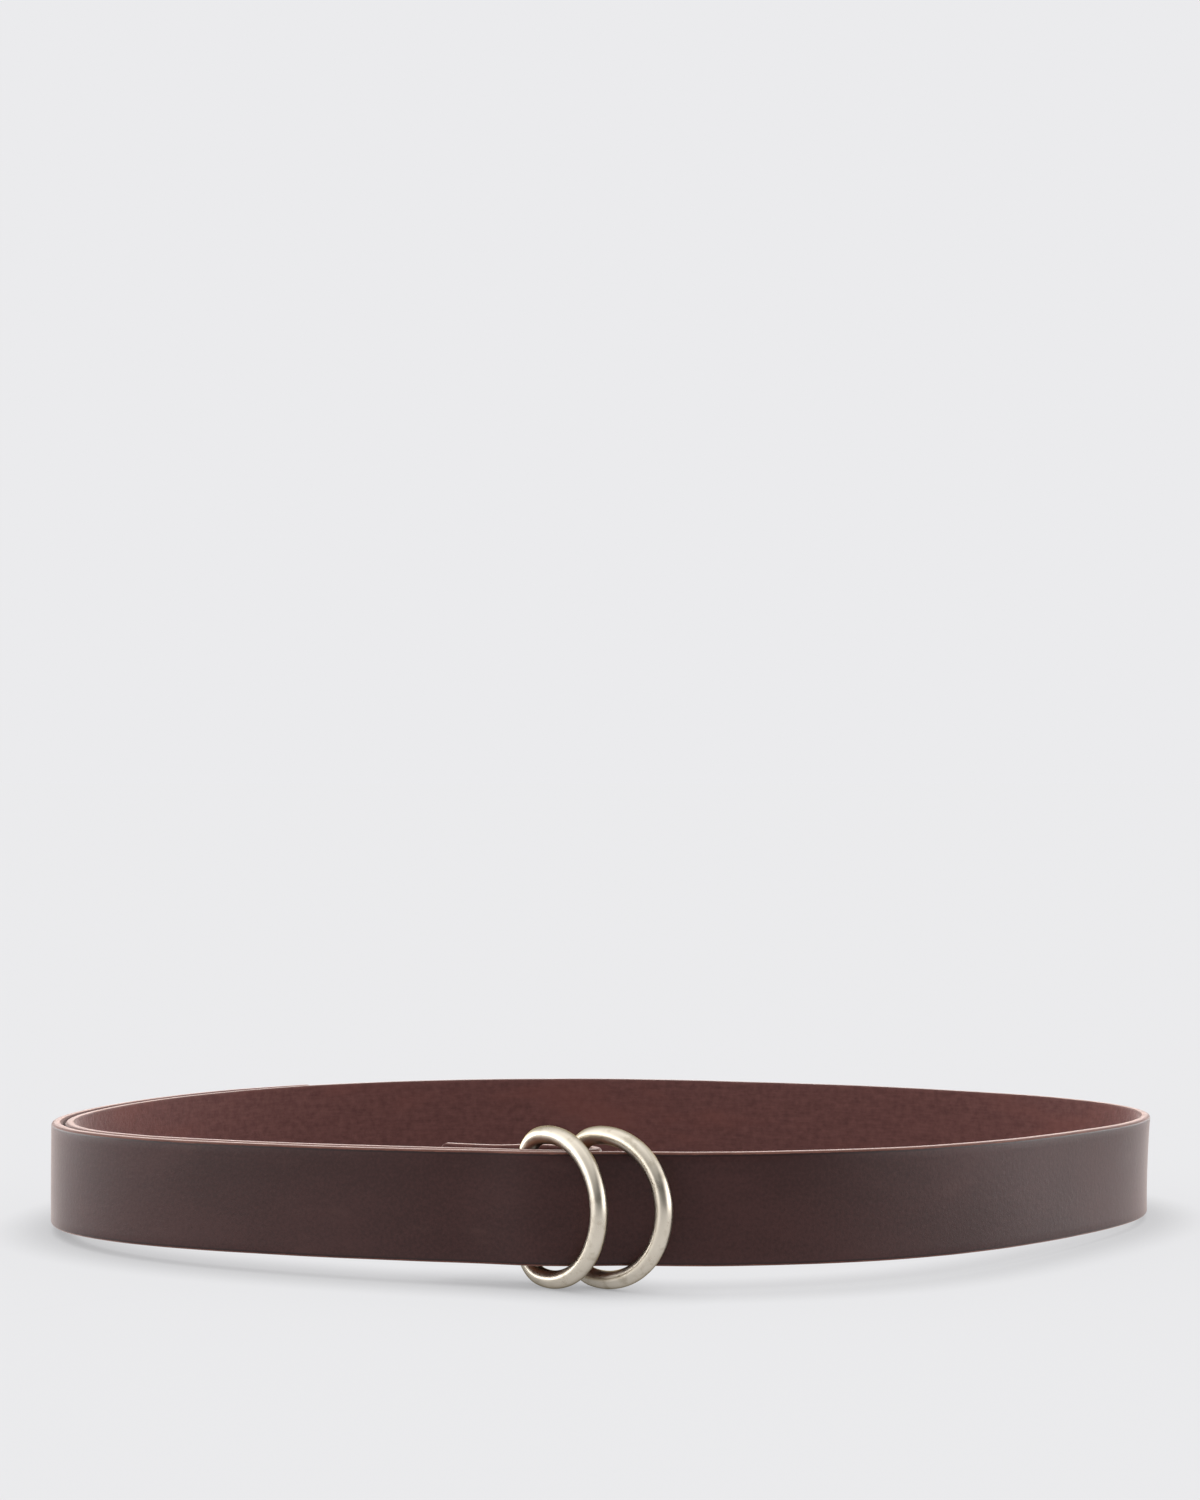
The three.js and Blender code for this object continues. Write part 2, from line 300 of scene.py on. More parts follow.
def frontAngleAt(x):
    # halves the front's range of angles until it closes in on this x
    low, high = math.radians(210), math.radians(330)
    for _ in range(30):
        middle = (low + high) / 2
        if rawLoopPoint(middle).x < x:
            low = middle
        else:
            high = middle
    return low


def behindFront(x, distance):
    point, inward = loopPoint(frontAngleAt(x))
    return point + inward * distance


# The strap's path

def wrapStation(angle):
    point, inward = loopPoint(angle)
    return {"middle": point + inward * insetAt(angle), "across": inward, "rise": lowerEdge(point.y)}


def routeCurve(points, step):
    # centripetal Catmull-Rom curve through the points
    padded = [points[0] * 2 - points[1], *points, points[-1] * 2 - points[-2]]
    curve = []
    for p0, p1, p2, p3 in zip(padded, padded[1:], padded[2:], padded[3:]):
        t1 = (p1 - p0).length ** 0.5
        t2 = t1 + (p2 - p1).length ** 0.5
        t3 = t2 + (p3 - p2).length ** 0.5
        count = max(2, round((p2 - p1).length / step))
        for place in range(count):
            t = mix(t1, t2, place / count)
            a1 = p0 * ((t1 - t) / t1) + p1 * (t / t1)
            a2 = p1 * ((t2 - t) / (t2 - t1)) + p2 * ((t - t1) / (t2 - t1))
            a3 = p2 * ((t3 - t) / (t3 - t2)) + p3 * ((t - t2) / (t3 - t2))
            b1 = a1 * ((t2 - t) / t2) + a2 * (t / t2)
            b2 = a2 * ((t3 - t) / (t3 - t1)) + a3 * ((t - t1) / (t3 - t1))
            curve.append(b1 * ((t2 - t) / (t2 - t1)) + b2 * ((t - t1) / (t2 - t1)))
    return curve + [points[-1]]


def foldStations(fixedEnd, step):
    centre = fixedEnd["middle"] + fixedEnd["across"] * fold["turnRadius"]
    startAngle = math.atan2(-fixedEnd["across"].y, -fixedEnd["across"].x)
    leaveAngle = math.radians(fold["leaveAngle"])
    turnSteps = round((leaveAngle - startAngle) * fold["turnRadius"] / step)
    rows = []
    for place in range(1, turnSteps + 1):
        angle = mix(startAngle, leaveAngle, place / turnSteps)
        outward = Vector((math.cos(angle), math.sin(angle)))
        rows.append({"middle": centre + outward * fold["turnRadius"], "across": -outward})
    route = [behindFront(x, distance) for x, distance in fold["route"]]
    curve = routeCurve([rows[-1]["middle"], *route], step)
    for before, point, after in zip(curve, curve[1:], curve[2:] + [curve[-1]]):
        heading = (after - before).normalized()
        rows.append({"middle": point, "across": Vector((-heading.y, heading.x))})
    for row in rows:
        row["rise"] = fixedEnd["rise"]
    return rows[::-1]


def smoothed(rows, rounds):
    # evens out the joint between the turn and the flap; the ends stay
    for _ in range(rounds):
        old = [(row["middle"].copy(), row["across"].copy()) for row in rows]
        for place in range(1, len(rows) - 1):
            (m0, a0), (m1, a1), (m2, a2) = old[place - 1:place + 2]
            rows[place]["middle"] = (m0 + m1 * 2 + m2) / 4
            rows[place]["across"] = (a0 + a1 * 2 + a2).normalized()
    return rows


def roundedEnd(rows, radius):
    # stations close together towards the last one, so that the corners and the cut end come out round
    last = rows[-1]
    outward = (last["middle"] - rows[-2]["middle"]).normalized()
    apart = radius * strap["endSpread"]
    while (rows[-1]["middle"] - last["middle"]).length < apart + strap["endGap"]:
        rows = rows[:-1]
    for share in strap["endShares"]:
        rows = rows + [{**last, "middle": last["middle"] - outward * apart * share}]
    return rows


def endShares(distance, radius):
    # share of the width and of the thickness that is left this far from an end
    into = min(distance, radius)
    width = halfWidth - radius + math.sqrt(radius ** 2 - (radius - into) ** 2)
    softness = strap["endSoftness"]
    left = min(distance, softness)
    rounding = math.sqrt(softness ** 2 - (softness - left) ** 2) / softness
    return width / halfWidth, mix(strap["endThickShare"], 1.0, rounding)


def strapStations():
    rightX, rightBehind, rightTurn = dRing["places"]["right"]
    rightPlace = behindFront(rightX, rightBehind)
    cornerX = (arcRadius - dRing["cornerRadius"]) * math.cos(math.radians(dRing["arcHalfAngle"]))
    barX = cornerX - dRing["cornerRadius"]
    foldX = rightPlace.x + barX * math.cos(math.radians(rightTurn))
    startAngle = frontAngleAt(foldX)
    endAngle = math.radians(strap["tailEndAngle"])
    meanRadius = (loop["halfWidth"] + loop["halfDepth"]) / 2
    count = round((startAngle - endAngle) * meanRadius / strap["stationStep"])
    wrap = [wrapStation(mix(startAngle, endAngle, place / count)) for place in range(count + 1)]
    folded = foldStations(wrap[0], strap["stationStep"] * fold["stepShare"])
    evenRows = fold["evenRows"]
    rows = smoothed(folded + wrap[:evenRows], fold["evenRounds"]) + wrap[evenRows:]
    rows = roundedEnd(rows[::-1], strap["flapCorner"])[::-1]
    rows = roundedEnd(rows, strap["tailCorner"])
    run = 0.0
    for place, row in enumerate(rows):
        if place:
            run += (row["middle"] - rows[place - 1]["middle"]).length
        row["run"] = run
    for row in rows:
        flapWidth, flapThickness = endShares(row["run"], strap["flapCorner"])
        tailWidth, tailThickness = endShares(run - row["run"], strap["tailCorner"])
        row["widthShare"] = min(flapWidth, tailWidth)
        row["thickShare"] = min(flapThickness, tailThickness)
    print("strap path:", len(rows), "stations,", round(run), "mm long")
    return rows


stations = strapStations()
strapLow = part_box("strap")[0]
pathLowX = min(row["middle"].x - row["across"].x * halfThick for row in stations) * mm
pathLowY = min((row["middle"] - row["across"] * halfThick).y - halfWidth * math.sin(leanAt(row["middle"].y))
               for row in stations) * mm
# the loop's own origin in the frame
loopPlace = Vector((strapLow[0] - pathLowX, strapLow[1] - pathLowY, 0.0))
print("place of the loop in the frame:", [round(part / mm, 3) for part in loopPlace])


# Camera: 70 mm lens, just above the strap, looking almost level

camera = {
    "lens": 70.0,
    "sensorWidth": 36.0,
    "clip": (0.01, 200.0),  # metres
    "distance": 734.82,  # in front of the strap's front face
    "height": 130.45,
    "pitch": 0.461,
}

cameraData = bpy.data.cameras.new("camera")
cameraData.lens = camera["lens"]
cameraData.sensor_width = camera["sensorWidth"]
cameraData.clip_start, cameraData.clip_end = camera["clip"]
cameraObject = newObject("camera", cameraData)
cameraObject.location = loopPlace + Vector((0, -camera["distance"], camera["height"])) * mm
cameraObject.rotation_euler = (math.radians(90 + camera["pitch"]), 0, 0)
bpy.context.scene.camera = cameraObject


# Geometry Nodes

def newTree(name, inputs):
    # inputs: name, socket type and value; the tree takes and gives one geometry
    tree = bpy.data.node_groups.new(name, "GeometryNodeTree")
    tree.interface.new_socket("Geometry", in_out="INPUT", socket_type="NodeSocketGeometry")
    tree.interface.new_socket("Geometry", in_out="OUTPUT", socket_type="NodeSocketGeometry")
    for label, kind, value in inputs:
        socket = tree.interface.new_socket(label, in_out="INPUT", socket_type=kind)
        if value is not None:
            socket.default_value = value
    return tree, tree.nodes.new("NodeGroupInput"), tree.nodes.new("NodeGroupOutput")


def finishTree(tree, last, material, out):
    inputs = {"Geometry": last.outputs[0], "Shade Smooth": True}
    shaded = addNode(tree, "GeometryNodeSetShadeSmooth", inputs)
    real = addNode(tree, "GeometryNodeRealizeInstances", {"Geometry": shaded.outputs[0]})
    inputs = {"Geometry": real.outputs[0], "Material": material}
    painted = addNode(tree, "GeometryNodeSetMaterial", inputs)
    tree.links.new(painted.outputs[0], out.inputs[0])
    return tree


def bakeTree(name, mesh, tree, values):
    # runs the tree on the mesh and gives a plain mesh object
    source = newObject(name + "_path", mesh)
    modifier = source.modifiers.new(name, "NODES")
    modifier.node_group = tree
    for item in tree.interface.items_tree:
        if item.item_type == "SOCKET" and item.in_out == "INPUT" and item.name in values:
            modifier[item.identifier] = values[item.name]
    depsgraph = bpy.context.evaluated_depsgraph_get()
    result = bpy.data.meshes.new_from_object(source.evaluated_get(depsgraph), depsgraph=depsgraph)
    bpy.data.objects.remove(source)
    result.name = name
    piece = newObject(name, result)
    print(name + ":", len(result.polygons), "faces")
    return piece


def strapTree():
    sizes = [
        ("Width", "NodeSocketFloat", strap["width"] * mm),
        ("Thickness", "NodeSocketFloat", strap["thickness"] * mm),
        ("Edge radius", "NodeSocketFloat", strap["edgeRadius"] * mm),
        ("Crown", "NodeSocketFloat", strap["crown"] * mm),
        ("Edge wander", "NodeSocketFloat", strap["edgeWander"] * mm),
        ("Surface wander", "NodeSocketFloat", strap["surfaceWander"] * mm),
        ("Profile", "NodeSocketObject", None),
        ("Leather", "NodeSocketMaterial", None),
    ]
    tree, given, out = newTree("strapSweep", sizes)
    size = given.outputs
    makers = (addMaths, addVectors, addScaled, addNoise)
    maths, vectors, scaled, noise = [partial(maker, tree) for maker in makers]

    def named(label, kind="FLOAT_VECTOR"):
        return addNode(tree, "GeometryNodeInputNamedAttribute", {"Name": label}, data_type=kind).outputs[0]

    def combined(x, y, z=0.0):
        return addNode(tree, "ShaderNodeCombineXYZ", {"X": x, "Y": y, "Z": z}).outputs[0]

    def wander(vector, wave, amount):
        # amount is the width of the band that it stays in
        waveLength, *settings = wave
        value = noise(vector, waveLength * mm, *settings)
        return maths("MULTIPLY", maths("SUBTRACT", value, 0.5), amount)

    profile = addNode(tree, "GeometryNodeObjectInfo", {"Object": size["Profile"]}, transform_space="ORIGINAL")
    profileCurve = addNode(tree, "GeometryNodeMeshToCurve", {"Mesh": profile.outputs["Geometry"]})
    pathCurve = addNode(tree, "GeometryNodeMeshToCurve", {"Mesh": size["Geometry"]})
    swept = addNode(tree, "GeometryNodeCurveToMesh", {
        "Curve": pathCurve.outputs[0], "Profile Curve": profileCurve.outputs[0], "Fill Caps": True})

    core = addNode(tree, "ShaderNodeSeparateXYZ", {0: named("core")}).outputs
    corner = addNode(tree, "ShaderNodeSeparateXYZ", {0: named("corner")}).outputs
    run = named("run", "FLOAT")
    edgesApart = 0.05  # metres in the noise, so that the two edges stray each in its own way
    halfThickness = maths("MULTIPLY", size["Thickness"], 0.5)
    halfBreadth = maths("MULTIPLY", size["Width"], 0.5)
    # side: outer face to inner face; height: lower edge to upper edge, both from the strap's middle
    side, height = [
        maths("ADD", maths("MULTIPLY", core[axis], maths("SUBTRACT", half, size["Edge radius"])),
              maths("MULTIPLY", corner[axis], size["Edge radius"]))
        for axis, half in (("X", halfThickness), ("Y", halfBreadth))
    ]

    # the faces belly a little along their middle, and the cut edges stray a little along their length
    belly = maths("SUBTRACT", 1.0, maths("MULTIPLY", core["Y"], core["Y"]))
    bellied = maths("ADD", side, maths("MULTIPLY", corner["X"], maths("MULTIPLY", belly, size["Crown"])))
    alongEdge = combined(run, maths("MULTIPLY", core["Y"], edgesApart))
    stray = wander(alongEdge, strap["edgeWave"], maths("MULTIPLY", size["Edge wander"], 2.0))
    strayed = maths("ADD", maths("MULTIPLY", height, named("widthShare", "FLOAT")),
                    maths("MULTIPLY", stray, core["Y"]))
    thick = maths("MULTIPLY", bellied, named("thickShare", "FLOAT"))
    ripple = wander(combined(run, height), strap["surfaceWave"], size["Surface wander"])
    curl = maths("MULTIPLY", named("curl", "FLOAT"), maths("MULTIPLY", core["Y"], core["Y"]))
    inward = maths("SUBTRACT", maths("ADD", thick, ripple), curl)
    spot = vectors("ADD", named("middle"), vectors("ADD", scaled(named("acrossAxis"), inward),
                                                   scaled(named("upAxis"), strayed)))
    moved = addNode(tree, "GeometryNodeSetPosition", {"Geometry": swept.outputs[0], "Position": spot})

    # where each point lies in the flat strap, for the leather's pattern
    stored = addNode(tree, "GeometryNodeStoreNamedAttribute", {
        "Geometry": moved.outputs[0], "Name": "leatherPlace", "Value": combined(run, height, side)},
        data_type="FLOAT_VECTOR", domain="POINT")
    return finishTree(tree, stored, size["Leather"], out)


def sectionLoop():
    # the strap's section: "core" is the place on the inner rectangle, "corner" the way out from it
    cores, corners = [], []
    steps = strap["cornerSteps"]
    around = [(-1, -1, 180), (1, -1, 270), (1, 1, 0), (-1, 1, 90)]
    for number, (side, height, startAngle) in enumerate(around):
        for step in range(steps + 1):
            angle = math.radians(startAngle + 90 * step / steps)
            cores.append((side, height, 0))
            corners.append((math.cos(angle), math.sin(angle), 0))
        nextSide, nextHeight, _ = around[(number + 1) % 4]
        between = strap["faceSteps"] if side == nextSide else strap["sideSteps"]
        outAngle = math.radians(startAngle + 90)
        for step in range(1, between):
            share = step / between
            cores.append((mix(side, nextSide, share), mix(height, nextHeight, share), 0))
            corners.append((math.cos(outAngle), math.sin(outAngle), 0))
    points = [(core[0] + corner[0], core[1] + corner[1], 0) for core, corner in zip(cores, corners)]
    edges = [(number, (number + 1) % len(points)) for number in range(len(points))]
    return newMesh("section", points, edges, [], {"core": cores, "corner": corners})


def makeStrap(leather):
    middles, acrossAxes, upAxes = [], [], []
    for row in stations:
        lean = leanAt(row["middle"].y)
        middles.append(Vector((*row["middle"], row["rise"] + halfWidth)) * mm + loopPlace)
        acrossAxes.append(Vector((*row["across"], 0)))
        flare = math.radians(loop["flare"]) * flareAt(row["middle"].x)
        upAxes.append(Vector((math.sin(flare), math.sin(lean), math.cos(lean))))
    edges = [(number, number + 1) for number in range(len(stations) - 1)]
    attributes = {
        "middle": middles,
        "acrossAxis": acrossAxes,
        "upAxis": upAxes,
        "run": [row["run"] * mm for row in stations],
        "curl": [flareAt(row["middle"].x) * loop["flareCurl"] * mm for row in stations],
        "widthShare": [row["widthShare"] for row in stations],
        "thickShare": [row["thickShare"] for row in stations],
    }
    pathMesh = newMesh("strapPath", middles, edges, [], attributes)
    profileObject = newObject("section", sectionLoop())
    values = {"Profile": profileObject, "Leather": leather}
    piece = bakeTree("leather_strap", pathMesh, strapTree(), values)
    bpy.data.objects.remove(profileObject)
    for label in (*attributes, "core", "corner"):
        if label in piece.data.attributes:
            piece.data.attributes.remove(piece.data.attributes[label])
    return piece


def ringTree():
    sizes = [
        ("Wire diameter", "NodeSocketFloat", dRing["wire"] * mm),
        ("Wire sides", "NodeSocketInt", dRing["wireSides"]),
        ("Cast wander", "NodeSocketFloat", dRing["castWander"] * mm),
        ("Metal", "NodeSocketMaterial", None),
    ]
    tree, given, out = newTree("ringSweep", sizes)
    size = given.outputs
    maths = partial(addMaths, tree)
    wire = {"Resolution": size["Wire sides"], "Radius": maths("MULTIPLY", size["Wire diameter"], 0.5)}
    circle = addNode(tree, "GeometryNodeCurvePrimitiveCircle", wire, mode="RADIUS")
    pathCurve = addNode(tree, "GeometryNodeMeshToCurve", {"Mesh": size["Geometry"]})
    swept = addNode(tree, "GeometryNodeCurveToMesh", {
        "Curve": pathCurve.outputs[0], "Profile Curve": circle.outputs[0]})
    waveLength, *settings = dRing["castWave"]
    waver = addNoise(tree, None, waveLength * mm, *settings)
    amount = maths("MULTIPLY", maths("SUBTRACT", waver, 0.5), size["Cast wander"])
    offset = addScaled(tree, addNode(tree, "GeometryNodeInputNormal").outputs[0], amount)
    moved = addNode(tree, "GeometryNodeSetPosition", {"Geometry": swept.outputs[0], "Offset": offset})
    return finishTree(tree, moved, size["Metal"], out)


def dPath():
    # middle line of the wire in the ring's own plane: wide arc, corner, bar, corner
    radius, halfAngle = dRing["cornerRadius"], math.radians(dRing["arcHalfAngle"])
    cornerX = (arcRadius - radius) * math.cos(halfAngle)
    cornerY = (arcRadius - radius) * math.sin(halfAngle)
    points = []

    def addArc(x, y, size, start, end):
        count = max(6, round(size * abs(end - start) / dRing["pathStep"]))
        for step in range(count):
            angle = mix(start, end, step / count)
            points.append((x + size * math.cos(angle), y + size * math.sin(angle)))

    addArc(0, 0, arcRadius, -halfAngle, halfAngle)
    addArc(cornerX, cornerY, radius, halfAngle, math.pi)
    barSteps = round(2 * cornerY / dRing["pathStep"])
    for step in range(barSteps):
        points.append((cornerX - radius, mix(cornerY, -cornerY, step / barSteps)))
    addArc(cornerX, -cornerY, radius, math.pi, 2 * math.pi - halfAngle)
    return points


def makeRing(side, tree, metal):
    x, behind, turnDegrees = dRing["places"][side]
    spot = behindFront(x, behind)
    lean, turn = math.radians(loop["frontLean"]), math.radians(turnDegrees)
    height = arcRadius * math.cos(lean * math.cos(turn)) + wireRadius
    move = Matrix.Translation(Vector((spot.x, spot.y, height)) * mm + loopPlace)
    for angle, axis in ((-lean, "X"), (-turn, "Z"), (math.pi / 2, "X")):
        move = move @ Matrix.Rotation(angle, 4, axis)
    points = [move @ (Vector((u, v, 0)) * mm) for u, v in dPath()]
    edges = [(number, (number + 1) % len(points)) for number in range(len(points))]
    return bakeTree("d_ring_" + side, newMesh("ringPath", points, edges, []), tree, {"Metal": metal})


def makeRivet(metal):
    # turned about its axis, which runs from the fixed layer's outer face back through the flap
    fixed = wrapStation(frontAngleAt(rivet["x"]))
    flapRows = [row for row in stations if row["run"] < rivet["flapReach"]]
    flap = min(flapRows, key=lambda row: abs(row["middle"].x - fixed["middle"].x))
    apart = (flap["middle"] - fixed["middle"]).dot(fixed["across"])
    capBase = apart + strap["thickness"] + rivet["capGap"]
    burrTop = rivet["clearance"] + rivet["burrThickness"]
    profile = [  # radius, and the place along the axis
        (0, rivet["clearance"]),
        (rivet["burrRadius"] - rivet["burrBevel"], rivet["clearance"]),
        (rivet["burrRadius"], rivet["clearance"] + rivet["burrBevel"]),
        (rivet["burrRadius"], burrTop),
        (rivet["shankRadius"], burrTop),
        (rivet["shankRadius"], capBase),
        (rivet["capRadius"] - rivet["capBevel"], capBase),
        (rivet["capRadius"], capBase + rivet["capBevel"]),
        (rivet["capRadius"], capBase + rivet["capRim"]),
    ]
    for step in range(1, rivet["domeSteps"] + 1):
        angle = math.pi / 2 * step / rivet["domeSteps"]
        profile.append((rivet["capRadius"] * math.cos(angle),
                        capBase + rivet["capRim"] + (rivet["capHeight"] - rivet["capRim"]) * math.sin(angle)))
    profile[-1] = (0, profile[-1][1])
    face = fixed["middle"] - fixed["across"] * halfThick
    axis = Vector((*fixed["across"], 0))
    upright = Vector((0, 0, 1))
    sideways = axis.cross(upright)
    start = Vector((*face, fixed["rise"] + halfWidth))
    points, faces, rings = [], [], []
    for radius, along in profile:
        sides = 1 if radius == 0 else rivet["sides"]
        rings.append(range(len(points), len(points) + sides))
        for step in range(sides):
            angle = 2 * math.pi * step / rivet["sides"]
            out = sideways * math.cos(angle) + upright * math.sin(angle)
            points.append((start + axis * along + out * radius) * mm + loopPlace)
    for lower, upper in zip(rings, rings[1:]):
        for step in range(rivet["sides"]):
            a, b = lower[step % len(lower)], lower[(step + 1) % len(lower)]
            c, d = upper[(step + 1) % len(upper)], upper[step % len(upper)]
            corners = [a, b, c, d]
            faces.append([corner for number, corner in enumerate(corners) if corner not in corners[:number]])
    mesh = newMesh("flap_rivet_metal", points, [], faces)
    mesh.materials.append(metal)
    piece = newObject("flap_rivet_metal", mesh)
    for polygon in mesh.polygons:
        polygon.use_smooth = True
    mesh.set_sharp_from_angle(angle=math.radians(rivet["sharpAngle"]))
    return piece


# Materials

def newMaterial(name):
    material = bpy.data.materials.new(name)
    material.use_nodes = True
    tree = material.node_tree
    return material, tree, tree.nodes["Principled BSDF"]


def setAll(shader, values):
    for label, value in values.items():
        shader.inputs[label].default_value = value


def addVoronoi(tree, vector, size):
    inputs = {"Vector": vector, "Scale": 1 / size}
    return addNode(tree, "ShaderNodeTexVoronoi", inputs, feature="F1").outputs


def addBump(tree, shader, heightInMm, strength):
    bump = addNode(tree, "ShaderNodeBump", {"Height": heightInMm, "Distance": mm, "Strength": strength})
    tree.links.new(bump.outputs[0], shader.inputs["Normal"])


noiseSpan = (0.3, 0.7)  # where most of a noise's values lie

leatherLook = {
    "grain": ("#351c1a", "#432624"),  # waxed grain side, dark and light
    "grainWear": "#503430",
    "grainWearShare": 0.35,
    "flesh": ("#502f2c", "#69423e"),
    "fleshWarm": "#6f4039",  # where the dye is thinner
    "fleshWarmShare": 0.45,
    "edge": ("#5f3623", "#90583a"),
    "bevel": ("#5a3126", "#774b3e"),  # the bevel on the grain side: burnished, and darker as painted shade
    "edgeBack": "#50342e",  # round the back the edge is dyed
    "edgeBackShare": (0.5, 0.9),  # thinly at the bends, fully in the middle
    "edgeBackX": (-85.0, -60.0, 105.0, 135.0),  # where the full dye starts and ends
    "edgeBackY": (50.0, 90.0),
    "edgeDye": "#2b1817",
    "grainRoughness": (0.33, 0.46),
    "fleshRoughness": 0.85,
    "edgeRoughness": 0.6,
    "specular": 0.27,  # the wax is dull seen head on and shines only at the bends
    "bloom": 0.78,  # grey bloom of the wax, seen where the face turns away
    "bloomRoughness": 0.3,
    "bloomTint": "#fbe5de",
    "fineShare": 0.45,  # how much of the grain's clouds is the fine pattern
    "fibreShare": 0.35,  # how much of the flesh side's mottle is short fibres
    "borderStray": 0.25,  # how much the cut edge's border wavers
    "bevelStray": 1.6,  # and how much the bevel's reach does
    "pore": 0.55,  # spacing of the hair pores
    "bump": 0.8,
}

# stretch along the strap, across it and through it; size in mm; detail and roughness of the noise
leatherNoise = {
    "clouds": ((0.4, 1.0, 1.0), 26.0, 4.0, 0.55),  # the wax's lighter clouds
    "wear": ((0.4, 1.0, 1.0), 9.0, 5.0, 0.65),
    "fine": ((1.0, 1.0, 1.0), 0.9, 4.0, 0.6),
    "skin": ((1.0, 1.0, 1.0), 1.6, 5.0, 0.65),
    "spots": ((1.0, 1.0, 1.0), 2.1, 5.0, 0.65),  # the flesh side's mottle
    "fibres": ((0.25, 1.6, 1.0), 1.2, 4.0, 0.6),
    "patches": ((0.4, 1.0, 1.0), 22.0, 3.0, 0.6),  # its warmer patches
    "layers": ((0.12, 1.0, 2.2), 0.8, 4.0, 0.6),  # fibres of the cut edge, in layers through the thickness
    "bevelWidth": ((0.1, 0.0, 0.0), 4.0, 3.0, 0.6),
    "border": ((1.0, 1.0, 1.0), 1.1, 2.0, 0.5),
}

# values between which a pattern or a distance in mm fades in
leatherFade = {
    "grain": (0.36, 0.64),
    "wear": (0.56, 0.75),
    "flesh": (0.25, 0.75),
    "patches": (0.48, 0.68),
    "layers": (0.34, 0.66),
    "pore": (0.0, 0.35),
    "cutEdge": (0.3, 0.5),
    "cutEdgeOuter": (1.05, 0.75),
    "fleshSide": (-0.2, 0.2),
    "dyeLine": (-0.25, 0.1),
    "bevel": (-0.45, 0.15),
}

# heights in mm
leatherRelief = {"pore": 0.02, "skin": 0.06, "flesh": 0.28, "fleshFine": 0.1, "layers": 0.12}


